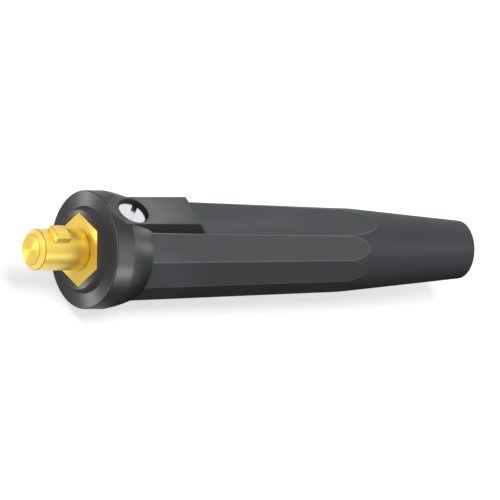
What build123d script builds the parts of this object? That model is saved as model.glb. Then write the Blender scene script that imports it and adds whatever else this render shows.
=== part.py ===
from build123d import *
import os
from math import cos, radians, sin, tan

# Welding cable plug. The pin points along -X and the cable leaves along +X.
# The origin is the middle of the brass hexagon's front face, at the root of the pin.
# +Z is the way the flat pad with the retaining screw faces. Sizes are in millimetres.

# Brass pin
pin_d = 9.0
pin_length = 12.5
nose_d = 6.8
nose_length = 1.0

# Bayonet key on the pin, in line with the pad
key_width = 4.0
key_d = 11.7
key_length = 3.75
key_from_hexagon = 5.35
key_rear_fillet = 0.4

# Hexagon and round barrel of the contact
hexagon_across_flats = 14.2
hexagon_length = 5.0
hexagon_turn = -15.0
barrel_d = 14.0
barrel_length = 35.0
barrel_chamfer = 0.5
conductor_bore_d = 8.5
conductor_bore_depth = 25.0
drill_point_angle = 118.0

# Set screws that clamp the conductor
set_screw_d = 6.0
set_screw_length = 4.0
set_screw_socket = 3.0
set_screw_socket_depth = 2.0
set_screw_chamfer = 0.5
set_screw_sink = 0.6
set_screw_pitch = 11.0
set_screw_from_rear = 9.0

# Copper ferrule round the strands, flattened where the set screws press
ferrule_wall = 0.5
ferrule_length = 23.0
ferrule_inset = 0.5

# Retaining screw in the pad
retaining_screw_x = 8.45
screw_thread_d = 4.0
screw_length = 7.0
screw_tip_chamfer = 0.5
screw_head_d = 6.5
screw_head_height = 1.7
screw_crown = 0.4
screw_slot_width = 1.2
screw_slot_depth = 1.2
screw_slot_turn = 50.0
screw_crown_sink = 0.35
tapped_hole_depth = 5.0

# Insulator: front boss, collar and cone
boss_height = 1.5
boss_front_d = 17.2
boss_base_d = 18.96
collar_d = 25.72
collar_length = 4.52
collar_fillet = 0.25
cone_length = 6.18
cone_end_d = 22.44
cone_bulge_height = 0.16

# Insulator: tapered handle with flat facets between straight ridges
ridge_end_d = 18.79
pad_facet_angle = 51.5
side_facet_angle = 33.0
side_facets = 4
ridge_land_height = 0.03

# Insulator: the facets' curved ends, where they run out of the tail
runout_start_x = 66.5
runout_radius = 80.0
runout_turn = 20.0

# Insulator: smooth conical tail
tail_start_x = 67.0
tail_end_x = 101.3
tail_end_d = 12.66
tail_fillet = 0.4

# Insulator: pad
pad_height = 12.2
pad_top_width = 8.28
pad_base_width = 9.3
pad_end_x = 24.2
pad_end_slope = 45.0
pad_front_ramp = 3.5
pad_fillet = 0.2

# Insulator: inside
cable_bore_d = 10.0
cable_bore_chamfer = 0.4
counterbore_d = 7.1
barrel_end_gap = 0.3

# Clearances on the radius
hexagon_clearance = 0.05
barrel_clearance = 0.1
ferrule_clearance = 0.05
set_screw_clearance = 0.02
thread_clearance = 0.05
screw_hole_clearance = 0.3

# Worked out from the sizes above
collar_end_x = boss_height + collar_length
handle_x = collar_end_x + cone_length
barrel_end_x = hexagon_length + barrel_length
bore_start_x = barrel_end_x - conductor_bore_depth
set_screw_tip_z = barrel_d / 2 - set_screw_sink - set_screw_length
screw_seat_z = pad_height - screw_crown_sink - screw_crown - screw_head_height
rear_set_screw_x = barrel_end_x - set_screw_from_rear
front_set_screw_x = rear_set_screw_x - set_screw_pitch
cable_bore_x = barrel_end_x + barrel_end_gap
ridge_slope = (cone_end_d - ridge_end_d) / 2 / (tail_start_x - handle_x)

# Facets round the handle: the angle of each one's middle from the pad, and its width
side_angles = [(pad_facet_angle + side_facet_angle) / 2 + side_facet_angle * step for step in range(side_facets)]
facets = [(0, pad_facet_angle)]
facets += [(sign * angle, side_facet_angle) for angle in side_angles for sign in (1, -1)]
facets += [(180, 360 - pad_facet_angle - 2 * side_facets * side_facet_angle)]


def ridge_radius(x):
    """Radius of the handle's ridges at a place along the plug."""
    return cone_end_d / 2 - ridge_slope * (x - handle_x)


def screw_plane(x, z):
    """A plane across the pad's normal, over one place on the plug's axis."""
    return Plane(origin=(x, 0, z), x_dir=(1, 0, 0), z_dir=(0, 0, 1))


# Bayonet key, milled with the pin: a block with a round top and a rounded rear edge
with BuildPart() as key:
    with BuildSketch(Plane.YZ.offset(-key_from_hexagon)):
        Circle(key_d / 2)
        with Locations((0, key_d / 2)):
            Rectangle(key_width, key_d, mode=Mode.INTERSECT)
    extrude(amount=-key_length)
    rear_edges = key.faces().sort_by(Axis.X)[-1].edges().filter_by(GeomType.CIRCLE)
    fillet(rear_edges, key_rear_fillet)

# Contact: pin, key, hexagon and barrel, turned, milled and drilled from one hexagon bar
with BuildPart() as contact:
    with BuildSketch(Plane.XZ):
        with BuildLine():
            Polyline(
                (-pin_length, 0),
                (-pin_length, nose_d / 2),
                (nose_length - pin_length, pin_d / 2),
                (0, pin_d / 2),
                (0, 0),
                close=True,
            )
        make_face()
    revolve(axis=Axis.X)
    add(key.part)
    with BuildSketch(Plane.YZ):
        RegularPolygon(hexagon_across_flats / 2, 6, major_radius=False, rotation=hexagon_turn)
    extrude(amount=hexagon_length)
    with BuildSketch(Plane.YZ.offset(hexagon_length)):
        Circle(barrel_d / 2)
    extrude(amount=barrel_length)
    chamfer(contact.faces().sort_by(Axis.X)[-1].edges(), barrel_chamfer)
    with BuildSketch(Plane.XZ):
        with BuildLine():
            Polyline(
                (barrel_end_x, 0),
                (barrel_end_x, conductor_bore_d / 2),
                (bore_start_x, conductor_bore_d / 2),
                (bore_start_x - conductor_bore_d / 2 / tan(radians(drill_point_angle / 2)), 0),
                close=True,
            )
        make_face()
    revolve(axis=Axis.X, mode=Mode.SUBTRACT)
    with BuildSketch(Plane.XY):
        with Locations((front_set_screw_x, 0), (rear_set_screw_x, 0)):
            Circle(set_screw_d / 2 + set_screw_clearance)
    extrude(amount=barrel_d, mode=Mode.SUBTRACT)
    with BuildSketch(screw_plane(retaining_screw_x, barrel_d / 2 - tapped_hole_depth)):
        Circle(screw_thread_d / 2 + thread_clearance)
    extrude(amount=barrel_d, mode=Mode.SUBTRACT)
contact.part.label = "contact"

# Conductor ferrule: a thin tube in the barrel, flat on the side that the set screws press
with BuildPart() as conductor_ferrule:
    with BuildSketch(Plane.YZ.offset(barrel_end_x - ferrule_inset)):
        Circle(conductor_bore_d / 2 - ferrule_clearance)
        with Locations((0, set_screw_tip_z)):
            Rectangle(
                conductor_bore_d,
                2 * conductor_bore_d,
                align=(Align.CENTER, Align.MAX),
                mode=Mode.INTERSECT,
            )
        offset(amount=-ferrule_wall, mode=Mode.SUBTRACT)
    extrude(amount=-ferrule_length)
conductor_ferrule.part.label = "conductor_ferrule"

# Pad that carries the retaining screw: sides with a little draft, and a ramp down to the handle at the end
pad_foot_z = ridge_radius(handle_x) * cos(radians(pad_facet_angle / 2))
pad_root_z = barrel_d / 2 + barrel_clearance
with BuildPart() as pad:
    with BuildSketch(Plane.YZ.offset(collar_end_x)):
        with BuildLine():
            Polyline(
                (-pad_top_width / 2, pad_height),
                (pad_top_width / 2, pad_height),
                (pad_base_width / 2, pad_foot_z),
                (pad_base_width / 2, pad_root_z),
                (-pad_base_width / 2, pad_root_z),
                (-pad_base_width / 2, pad_foot_z),
                close=True,
            )
        make_face()
    extrude(amount=pad_end_x + pad_height - pad_root_z - collar_end_x)
    with BuildSketch(Plane.XZ):
        with BuildLine():
            Polyline(
                (collar_end_x, pad_root_z),
                (collar_end_x, pad_height),
                (pad_end_x, pad_height),
                (pad_end_x + (pad_height - pad_root_z) / tan(radians(pad_end_slope)), pad_root_z),
                close=True,
            )
        make_face()
    extrude(amount=pad_base_width, both=True, mode=Mode.INTERSECT)
    pad_top_edges = pad.faces().filter_by(Axis.Z).sort_by(Axis.Z)[-1].edges()
    fillet(pad_top_edges.sort_by(Axis.X)[1:], pad_fillet)

# Insulator: one moulding
with BuildPart() as insulator:
    # Round blank of the handle and tail
    with BuildSketch(Plane.YZ.offset(handle_x)):
        Circle(collar_d / 2)
    extrude(amount=tail_end_x - handle_x)
    # Facets: each is flat along the handle and curves out of the tail at its end
    for angle, width_angle in facets:
        level = cos(radians(width_angle / 2))
        normal = Vector(0, sin(radians(angle)), cos(radians(angle)))
        facet_plane = Plane(origin=(0, 0, 0), x_dir=(1, 0, 0), z_dir=Vector(1, 0, 0).cross(normal))
        with BuildSketch(facet_plane):
            with BuildLine():
                flat = Line(
                    (handle_x, level * ridge_radius(handle_x)),
                    (runout_start_x, level * ridge_radius(runout_start_x)),
                )
                curve = JernArc(flat @ 1, flat % 1, runout_radius, runout_turn)
                Polyline(curve @ 1, (handle_x, (curve @ 1).Y + cone_end_d), flat @ 0)
            make_face()
        extrude(amount=cone_end_d, both=True, mode=Mode.SUBTRACT)
    # The ridges get narrow round backs, and the tail is a smooth cone
    with BuildSketch(Plane.XZ):
        with BuildLine():
            Polyline(
                (handle_x, 0),
                (handle_x, cone_end_d / 2 - ridge_land_height),
                (tail_start_x, ridge_end_d / 2 - ridge_land_height),
                (tail_end_x, tail_end_d / 2),
                (tail_end_x, 0),
                close=True,
            )
        make_face()
    revolve(axis=Axis.X, mode=Mode.INTERSECT)
    fillet(insulator.faces().sort_by(Axis.X)[-1].edges(), tail_fillet)
    # Front boss, collar and the slightly bulged cone behind it
    with BuildSketch(Plane.XZ) as collar_section:
        with BuildLine():
            Polyline(
                (handle_x, cone_end_d / 2),
                (handle_x, 0),
                (0, 0),
                (0, boss_front_d / 2),
                (boss_height, boss_base_d / 2),
                (boss_height, collar_d / 2),
                (collar_end_x, collar_d / 2),
            )
            SagittaArc((collar_end_x, collar_d / 2), (handle_x, cone_end_d / 2), cone_bulge_height)
        make_face()
        rim = collar_section.vertices().group_by(Axis.Y)[-1].sort_by(Axis.X)[0]
        fillet(rim, collar_fillet)
    revolve(axis=Axis.X)
    # The collar's top is cut flat for the pad, with a ramp up to its front rim
    with BuildSketch(Plane.XZ):
        with BuildLine():
            Polyline(
                (boss_height, collar_d / 2),
                (boss_height + pad_front_ramp, pad_height),
                (handle_x, pad_height),
                (handle_x, collar_d),
                (boss_height, collar_d),
                close=True,
            )
        make_face()
    extrude(amount=collar_d, both=True, mode=Mode.SUBTRACT)
    add(pad.part)
    # Hexagon recess, barrel bore and cable bore
    with BuildSketch(Plane.YZ):
        RegularPolygon(
            hexagon_across_flats / 2 + hexagon_clearance, 6, major_radius=False, rotation=hexagon_turn
        )
    extrude(amount=hexagon_length, mode=Mode.SUBTRACT)
    with BuildSketch(Plane.YZ):
        Circle(barrel_d / 2 + barrel_clearance)
    extrude(amount=cable_bore_x, mode=Mode.SUBTRACT)
    with BuildSketch(Plane.YZ):
        Circle(cable_bore_d / 2)
    extrude(amount=tail_end_x, mode=Mode.SUBTRACT)
    chamfer(
        insulator.faces().sort_by(Axis.X)[-1].edges().sort_by(SortBy.RADIUS)[0], cable_bore_chamfer
    )
    # Counterbored hole for the retaining screw
    with BuildSketch(screw_plane(retaining_screw_x, screw_seat_z)):
        Circle(counterbore_d / 2)
    extrude(amount=pad_height, mode=Mode.SUBTRACT)
    with BuildSketch(screw_plane(retaining_screw_x, 0)):
        Circle(screw_thread_d / 2 + screw_hole_clearance)
    extrude(amount=pad_height, mode=Mode.SUBTRACT)
insulator.part.label = "insulator"

# Retaining screw: slotted, with a low crowned head
with BuildPart() as retaining_screw:
    with BuildSketch(Plane(origin=(retaining_screw_x, 0, screw_seat_z), x_dir=(1, 0, 0), z_dir=(0, -1, 0))):
        with BuildLine():
            Polyline(
                (0, screw_head_height + screw_crown),
                (0, -screw_length),
                (screw_thread_d / 2 - screw_tip_chamfer, -screw_length),
                (screw_thread_d / 2, screw_tip_chamfer - screw_length),
                (screw_thread_d / 2, 0),
                (screw_head_d / 2, 0),
                (screw_head_d / 2, screw_head_height),
            )
            crown_radius = ((screw_head_d / 2) ** 2 + screw_crown**2) / (2 * screw_crown)
            RadiusArc(
                (0, screw_head_height + screw_crown),
                (screw_head_d / 2, screw_head_height),
                crown_radius,
            )
        make_face()
    revolve(axis=Axis((retaining_screw_x, 0, 0), (0, 0, 1)))
    with BuildSketch(screw_plane(retaining_screw_x, screw_seat_z + screw_head_height + screw_crown)):
        Rectangle(2 * screw_head_d, screw_slot_width, rotation=screw_slot_turn)
    extrude(amount=-screw_slot_depth, mode=Mode.SUBTRACT)
retaining_screw.part.label = "retaining_screw"

# The two set screws: flat points and hexagon sockets
set_screws = {"front_set_screw": front_set_screw_x, "rear_set_screw": rear_set_screw_x}
set_screw_parts = []
for label, x in set_screws.items():
    with BuildPart() as set_screw:
        with BuildSketch(screw_plane(x, set_screw_tip_z)):
            Circle(set_screw_d / 2)
        extrude(amount=set_screw_length)
        chamfer(set_screw.edges(), set_screw_chamfer)
        with BuildSketch(screw_plane(x, set_screw_tip_z + set_screw_length)):
            RegularPolygon(set_screw_socket / 2, 6, major_radius=False)
        extrude(amount=-set_screw_socket_depth, mode=Mode.SUBTRACT)
    set_screw.part.label = label
    set_screw_parts.append(set_screw.part)

os.makedirs("parts", exist_ok=True)
export_step(contact.part, "parts/contact.step")
export_step(conductor_ferrule.part, "parts/conductor_ferrule.step")
export_step(insulator.part, "parts/insulator.step")
export_step(retaining_screw.part, "parts/retaining_screw.step")
for part in set_screw_parts:
    export_step(part, "parts/" + part.label + ".step")
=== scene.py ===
"""Looks for the welding cable plug: its pieces, finishes, lamps, floor and camera."""

from math import atan2, cos, pi, radians, sin, sqrt, tan

import bmesh
import bpy
import numpy as np
from bpy.props import FloatProperty, FloatVectorProperty, PointerProperty
from mathutils import Matrix, Vector


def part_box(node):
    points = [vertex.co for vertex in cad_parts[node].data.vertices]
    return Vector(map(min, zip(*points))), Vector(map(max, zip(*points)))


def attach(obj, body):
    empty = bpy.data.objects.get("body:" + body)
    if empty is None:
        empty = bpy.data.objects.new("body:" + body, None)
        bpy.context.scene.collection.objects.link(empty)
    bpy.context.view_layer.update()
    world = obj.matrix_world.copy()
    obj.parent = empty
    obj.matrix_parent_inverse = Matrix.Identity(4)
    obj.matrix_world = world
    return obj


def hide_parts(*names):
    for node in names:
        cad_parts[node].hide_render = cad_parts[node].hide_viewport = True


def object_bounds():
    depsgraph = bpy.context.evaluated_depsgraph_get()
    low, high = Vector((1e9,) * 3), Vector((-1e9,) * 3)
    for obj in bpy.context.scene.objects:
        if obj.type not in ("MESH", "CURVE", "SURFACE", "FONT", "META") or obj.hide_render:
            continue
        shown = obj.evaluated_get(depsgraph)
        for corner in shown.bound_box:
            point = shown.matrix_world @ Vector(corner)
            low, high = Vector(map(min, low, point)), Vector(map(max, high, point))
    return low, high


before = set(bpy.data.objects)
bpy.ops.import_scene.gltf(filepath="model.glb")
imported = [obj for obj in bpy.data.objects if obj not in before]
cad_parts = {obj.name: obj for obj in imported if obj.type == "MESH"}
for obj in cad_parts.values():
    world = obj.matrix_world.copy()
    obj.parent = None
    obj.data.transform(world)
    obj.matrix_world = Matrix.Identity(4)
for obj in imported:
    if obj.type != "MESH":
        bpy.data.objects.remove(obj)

bl_info = {
    "name": "Welding cable plug",
    "version": (1, 0, 0),
    "blender": (4, 5, 0),
    "location": "View3D > Sidebar > Plug",
    "description": "Builds the visible pieces of a welding cable plug round its packed model",
    "category": "Object",
}

# The CAD model's box, whose lowest point sets the floor's height
cad_box = [list(corner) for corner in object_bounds()]

# Lengths are in metres, and are written in millimetres
MM = 0.001

# A gap that is closed by merging, and a share that keeps a division from zero
MERGE_DISTANCE = 0.0002 * MM
TINY = 1e-6

# Corners sharper than this are shaded as edges
EDGE_ANGLE = radians(6.5)

# The pieces that lamps are kept to
PLASTIC = "moulded_insulator"
BRASS = "turned_contact"

# Angles round the plug run from the pad, +Z, towards the side that the camera sees, -Y.
# The hexagon has a corner at this angle.
HEXAGON_CORNER = radians(15)
SIXTH_TURN = radians(60)
FULL_TURN = radians(360)

# Rings of a rounded edge, and columns of a cutter that is turned round an upright line
ROUNDING_RINGS = 16
CUTTER_COLUMNS = 96

# A face looks forwards, along -X, where its direction's first value is below this
LOOKS_FORWARDS = -0.9


def linear_colour(hex_code):
    """Turns an sRGB hex code into linear red, green, blue and an alpha of one."""
    channels = np.array([int(hex_code[i : i + 2], 16) for i in (1, 3, 5)]) / 255
    linear = np.where(channels <= 0.04045, channels / 12.92, ((channels + 0.055) / 1.055) ** 2.4)
    return (*linear.tolist(), 1.0)


def length(name, description, millimetres):
    """A length that the sidebar shows in the scene's units."""
    return FloatProperty(
        name=name, description=description, default=millimetres * MM, unit="LENGTH", precision=5
    )


def rotation(name, description, degrees):
    """An angle that the sidebar shows in degrees."""
    return FloatProperty(
        name=name, description=description, default=radians(degrees), unit="ROTATION"
    )


def srgb(name, description, hex_code):
    """A colour with its default from an sRGB hex code."""
    return FloatVectorProperty(
        name=name,
        description=description,
        default=linear_colour(hex_code),
        size=4,
        subtype="COLOR",
        min=0,
        max=1,
    )


class InsulatorSettings(bpy.types.PropertyGroup):
    """Sizes and colours of the moulded insulator."""

    boss_height: length("Boss height", "How far the front boss stands out of the collar", 1.5)
    boss_front_radius: length("Boss front radius", "Radius of the boss at its front", 8.6)
    boss_base_radius: length("Boss base radius", "Radius of the boss at the collar", 9.48)
    collar_radius: length("Collar radius", "Radius of the collar's band", 12.86)
    collar_end: length("Collar end", "Where the band ends and the cone begins", 6.02)
    rim_fillet: length("Rim fillet", "Rounding of the collar's front rim", 0.25)
    handle_start: length("Handle start", "Where the cone ends and the facets begin", 12.2)
    cone_end_radius: length("Cone end radius", "Radius of the cone and the ridges there", 11.22)
    cone_bulge: length("Cone bulge", "How far the cone's side bulges outwards", 0.16)
    tail_start: length("Tail start", "Where the tail's cone becomes narrower than the ridges", 67.0)
    tail_start_radius: length("Tail start radius", "Radius of the ridges and the cone there", 9.38)
    tail_end: length("Tail end", "Where the tail ends", 101.3)
    tail_end_radius: length("Tail end radius", "Radius of the tail's end", 6.33)
    tail_fillet: length("Tail fillet", "Rounding of the tail's end", 0.4)
    runout_start: length("Run-out start", "Where the facets begin to curve out of the tail", 66.5)
    runout_radius: length("Run-out radius", "Radius of the facets' curved ends", 80.0)
    pad_facet_width: rotation("Pad facet width", "Angle between the ridges beside the pad", 51.5)
    side_facet_width: rotation("Side facet width", "Angle between the other ridges", 33.0)
    pad_height: length("Pad height", "Height of the pad's top over the axis", 12.2)
    pad_top_width: length("Pad top width", "Width of the pad's top", 8.28)
    pad_base_width: length("Pad base width", "Width of the pad's foot", 9.3)
    pad_ramp: length("Pad front ramp", "Length of the ramp from the collar's rim to the pad", 3.5)
    pad_end: length("Pad end", "Where the pad's top turns down to the handle", 24.2)
    pad_fillet: length("Pad fillet", "Rounding of the pad's edges", 0.2)
    recess_flat: length("Recess flat", "Distance from the axis to the hexagon recess's flats", 7.15)
    recess_depth: length("Recess depth", "Depth of the hexagon recess", 5.0)
    barrel_bore_radius: length("Barrel bore radius", "Radius of the bore round the barrel", 7.1)
    cable_bore_start: length("Cable bore start", "Where the bore narrows to the cable's", 40.3)
    cable_bore_radius: length("Cable bore radius", "Radius of the bore for the cable", 5.0)
    cable_bore_chamfer: length("Cable bore chamfer", "Chamfer at the bore's mouth", 0.4)
    counterbore_radius: length("Counterbore radius", "Radius of the screw head's hole", 3.55)
    counterbore_floor: length("Counterbore floor", "Height of the screw's seat over the axis", 9.75)
    screw_hole_radius: length("Screw hole radius", "Radius of the hole for the screw's shank", 2.3)
    body_colour: srgb("Body colour", "Moulded plastic with the fine grain of the handle", "#484B4D")
    tail_colour: srgb("Tail colour", "The same plastic with the tail's smoother grain", "#3F4244")
    # The worn colour and line are a painted highlight: a pale line along each facet's border
    ridge_highlight_colour: srgb("Worn colour", "The same plastic, rubbed by hands", "#656769")
    ridge_highlight_width: length("Worn line", "Width of the rubbed line on each ridge", 0.2)
    # The polished colour is also painted shade on the pad's sides, for the corner over the facets
    polished_and_shade_colour: srgb("Polished colour", "The same plastic from a polished mould", "#18191A")
    face_colour: srgb("Face colour", "The same plastic from a turned insert", "#121213")


class ContactSettings(bpy.types.PropertyGroup):
    """Sizes and colours of the brass contact."""

    pin_length: length("Pin length", "Length of the pin in front of the hexagon", 12.5)
    pin_radius: length("Pin radius", "Radius of the pin", 4.5)
    nose_radius: length("Nose radius", "Radius of the pin's flat nose", 3.4)
    nose_length: length("Nose length", "Length of the nose's chamfer", 1.0)
    key_radius: length("Key radius", "Radius of the key's round top", 5.85)
    key_width: length("Key width", "Width of the key", 4.0)
    key_length: length("Key length", "Length of the key", 3.75)
    key_rear: length("Key rear", "Gap between the key and the hexagon", 5.35)
    key_fillet: length("Key fillet", "Rounding of the key's rear edge", 0.4)
    hexagon_flat: length("Hexagon flat", "Distance from the axis to the hexagon's flats", 7.1)
    hexagon_length: length("Hexagon length", "Length of the hexagon", 5.0)
    barrel_radius: length("Barrel radius", "Radius of the barrel behind the hexagon", 7.0)
    barrel_end: length("Barrel end", "Where the barrel ends", 40.0)
    barrel_chamfer: length("Barrel chamfer", "Chamfer of the barrel's end", 0.5)
    bore_radius: length("Bore radius", "Radius of the conductor's bore", 4.25)
    bore_start: length("Bore start", "Where the conductor's bore reaches its full width", 15.0)
    clamp_hole_radius: length("Clamp hole radius", "Radius of the holes for the set screws", 3.02)
    screw_hole_radius: length("Screw hole radius", "Radius of the retaining screw's hole", 2.05)
    screw_hole_floor: length("Screw hole floor", "Height of that hole's floor over the axis", 2.0)
    colour: srgb("Brass colour", "Free-cutting brass, turned and bright", "#EBCC52")
    face_colour: srgb("Faced colour", "The same brass, duller where it was faced", "#E2C150")
    tarnish_colour: srgb("Tarnish colour", "The same brass, tarnished along its edges", "#A07A44")


class ScrewSettings(bpy.types.PropertyGroup):
    """Sizes and colours of the retaining screw."""

    head_radius: length("Head radius", "Radius of the head", 3.25)
    head_height: length("Head height", "Height of the head's straight side", 1.7)
    crown: length("Crown", "Height of the head's crown", 0.4)
    slot_width: length("Slot width", "Width of the slot", 1.2)
    slot_depth: length("Slot depth", "Depth of the slot below the crown", 1.2)
    slot_turn: rotation("Slot turn", "Turn of the slot from the plug's axis", 50.0)
    shank_length: length("Shank length", "Length of the threaded shank", 7.0)
    thread_radius: length("Thread radius", "Outer radius of the thread", 2.0)
    thread_pitch: length("Thread pitch", "Pitch of a 4 mm coarse thread", 0.7)
    thread_depth: length("Thread depth", "Depth of the thread", 0.38)
    colour: srgb("Plating colour", "Bright nickel plate", "#E4E5E8")


class ClampSettings(bpy.types.PropertyGroup):
    """Colours of the hidden clamp."""

    steel_colour: srgb("Steel colour", "Set screws of blackened steel", "#3A3A3E")
    copper_colour: srgb("Copper colour", "Bare copper of the ferrule", "#D08A66")


class StageSettings(bpy.types.PropertyGroup):
    """Floor and camera."""

    frame_width: length("Frame width", "Width of the picture at the plug", 108.7)
    lens: length("Lens", "Focal length of the camera, long enough for parallel edges", 1500.0)
    middle: length("Middle", "Place on the axis at the middle of the picture", 45.45)
    picture_lift: length("Picture lift", "How far the axis lies above the picture's middle", 0.087)
    floor_size: length("Floor size", "Width and depth of the floor", 3000.0)
    floor_gap: length("Floor gap", "Gap between the floor and the collar", 0.02)
    floor_colour: srgb("Floor colour", "Plain pale floor", "#F4F4F4")


def merge_and_turn_out(mesh):
    """Merges points that coincide, as at poles, and turns every face outwards."""
    shape = bmesh.new()
    shape.from_mesh(mesh)
    bmesh.ops.remove_doubles(shape, verts=shape.verts, dist=MERGE_DISTANCE)
    bmesh.ops.recalc_face_normals(shape, faces=shape.faces)
    shape.to_mesh(mesh)
    shape.free()


def ring_surface(name, rings, tube=False):
    """Makes a closed surface from points in an array of rings by columns by xyz.

    Neighbouring rings are joined by a band of quads. On a tube the last ring joins the first;
    otherwise the first and last rings have shrunk to one point each, which closes the ends.
    """
    ring_count, column_count = rings.shape[:2]
    index = np.arange(ring_count * column_count).reshape(ring_count, column_count)
    near = index if tube else index[:-1]
    far = np.roll(index, -1, axis=0) if tube else index[1:]
    quads = np.stack([near, np.roll(near, -1, axis=1), np.roll(far, -1, axis=1), far], axis=-1)
    mesh = bpy.data.meshes.new(name)
    mesh.from_pydata(rings.reshape(-1, 3), [], quads.reshape(-1, 4))
    merge_and_turn_out(mesh)
    piece = bpy.data.objects.new(name, mesh)
    bpy.context.scene.collection.objects.link(piece)
    return piece


def around_plug(x, radius, angle):
    """Points at a place along the plug, a distance from its axis and an angle round it."""
    x, radius, angle = np.broadcast_arrays(x, radius, angle)
    return np.stack([x, -radius * np.sin(angle), radius * np.cos(angle)], axis=-1)


def around_hole(centre_x, z, radius, angle):
    """Points at a height, a distance and an angle round an upright line over the plug's axis."""
    z, radius, angle = np.broadcast_arrays(z, radius, angle)
    return np.stack([centre_x + radius * np.cos(angle), radius * np.sin(angle), z], axis=-1)


def turned_rings(angle, profile):
    """Rings for a profile's places along the plug and distances from its axis."""
    return np.array([around_plug(x, radius, angle) for x, radius in profile])


def spread(breaks, counts):
    """Angles for each ring: every gap between its break angles gets a number of even columns."""
    gaps = zip(breaks.T, breaks.T[1:], counts)
    columns = [np.linspace(start, end, n, endpoint=False, axis=1) for start, end, n in gaps]
    return np.concatenate(columns, axis=1)


def arc_points(centre_along, centre_out, radius, start, end, steps):
    """Places along the axis and distances from it, on an arc between two angles from the axis."""
    turn = np.linspace(start, end, steps)
    return centre_along + radius * np.cos(turn), centre_out + radius * np.sin(turn)


def upright_cutter(name, centre_x, profile):
    """A closed solid turned round an upright line, from its profile of distances and heights."""
    radius, z = np.array(profile).T
    angle = np.linspace(0, FULL_TURN, CUTTER_COLUMNS, endpoint=False)
    return ring_surface(name, around_hole(centre_x, z[:, None], radius[:, None], angle[None, :]))


def apply_modifiers(piece):
    """Turns what a piece's modifiers give into its own mesh."""
    bpy.context.view_layer.update()
    evaluated = piece.evaluated_get(bpy.context.evaluated_depsgraph_get())
    mesh = bpy.data.meshes.new_from_object(evaluated)
    piece.modifiers.clear()
    piece.data = mesh


def cut(piece, cutter):
    """Takes a cutter's volume out of a piece and removes the cutter."""
    boolean = piece.modifiers.new("cut", "BOOLEAN")
    boolean.operation = "DIFFERENCE"
    boolean.solver = "EXACT"
    boolean.object = cutter
    apply_modifiers(piece)
    bpy.data.objects.remove(cutter)


def finish_piece(piece, node, body, slot, *materials):
    """Shades a finished piece, gives it its materials and its place in the frame."""
    piece.data.materials.clear()
    for material in materials:
        piece.data.materials.append(material)
    piece.data.shade_smooth()
    piece.data.set_sharp_from_angle(angle=EDGE_ANGLE)
    # Large faces keep their own shading, and the narrow roundings between them take the change
    weighted = piece.modifiers.new("weighted_normals", "WEIGHTED_NORMAL")
    weighted.keep_sharp = True
    apply_modifiers(piece)
    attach(piece, body)
    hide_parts(node)


def face_directions_and_centres(mesh):
    """Every face's outward direction and its middle, by which it gets one of the finishes."""
    normals = np.empty(len(mesh.polygons) * 3)
    centres = np.empty(len(mesh.polygons) * 3)
    mesh.polygons.foreach_get("normal", normals)
    mesh.polygons.foreach_get("center", centres)
    return normals.reshape(-1, 3), centres.reshape(-1, 3)


def hexagon_radius(angle, flat):
    """Distance from the axis to a hexagon at an angle, given the distance to its flats."""
    from_flat = np.mod(angle - HEXAGON_CORNER, SIXTH_TURN) - SIXTH_TURN / 2
    return flat / np.cos(from_flat)


def hexagon_columns(count, first):
    """Angles with a column at every corner of the hexagon, starting near an angle."""
    step = FULL_TURN / count
    shift = round((first - HEXAGON_CORNER) / step)
    return HEXAGON_CORNER + step * (np.arange(count) + shift)


def screw_line(name="retaining_screw"):
    """Place of a screw's line along the plug."""
    low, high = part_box(name)
    return (low.x + high.x) / 2


# Insulator

# Columns round each facet: ridge, edge, flat, edge, ridge
FACET_COLUMNS = (10, 2, 6, 2, 10)
# Columns round the pad's facet: ridge, facet, side, rounding, half of the top, and the same back
PAD_COLUMNS = (10, 2, 4, 9, 8, 8, 9, 4, 2, 10)
# The part of a facet that its middle columns cover
FACET_EDGE_SHARE = 0.9
# The part of the way from pad to ridge that the columns beside the pad cover on a round ring
PAD_MARGIN_SHARE = 1 / 6
# The ridges are rounded over this angle to each side, the more sharply the higher the power
RIDGE_HALF_WIDTH = radians(1.0)
RIDGE_POWER = 460
SIDE_FACETS = 4
CONE_RINGS = 14
PAD_ARC_RINGS = 7
PAD_RAMP_RINGS = 5
PAD_RAMP_ANGLE = radians(45)
# The curved ends of all the facets lie in this length
RUNOUT_RINGS = 90
RUNOUT_LENGTH = 16 * MM
# The screw's hole widens by this much at its rim
HOLE_FLARE = 0.1 * MM
# How far past a border the middle of a face may lie and still count
FOOT_SLACK = 0.01 * MM
HOLE_SLACK = 0.02 * MM
FRONT_SLACK = 0.1 * MM
# Where the columns of the hexagon's rings start, so that they stay near the facets' columns
HEXAGON_START = radians(-30.25)
# The insulator's finishes, in the order in which the piece gets its materials
# The last finish, on the worn ridges, is a painted highlight: pale lines along the facets' borders
GRAINED, POLISHED_AND_PAD_SHADE, TURNED_FACE, TAIL, PAINTED_RIDGE_HIGHLIGHT = range(5)


def facet_middles_and_halves(s):
    """Angle of each facet's middle, in order from the pad, and half of the angle it covers."""
    steps = np.arange(SIDE_FACETS)
    near_side = (s.pad_facet_width + s.side_facet_width) / 2 + s.side_facet_width * steps
    bottom_width = FULL_TURN - s.pad_facet_width - 2 * SIDE_FACETS * s.side_facet_width
    middles = np.concatenate([[0], near_side, [FULL_TURN / 2], FULL_TURN - near_side[::-1]])
    sides = [s.side_facet_width] * SIDE_FACETS
    return middles, np.array([s.pad_facet_width, *sides, bottom_width, *sides]) / 2


def ridge_radius(s, x):
    """The ridges run straight from the cone's end to the tail's start."""
    slope = (s.cone_end_radius - s.tail_start_radius) / (s.tail_start - s.handle_start)
    return s.cone_end_radius - slope * (x - s.handle_start)


def tail_radius(s, x):
    """The tail is a straight cone, carried on forwards over the handle."""
    slope = (s.tail_start_radius - s.tail_end_radius) / (s.tail_end - s.tail_start)
    return s.tail_end_radius + slope * (s.tail_end - x)


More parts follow.
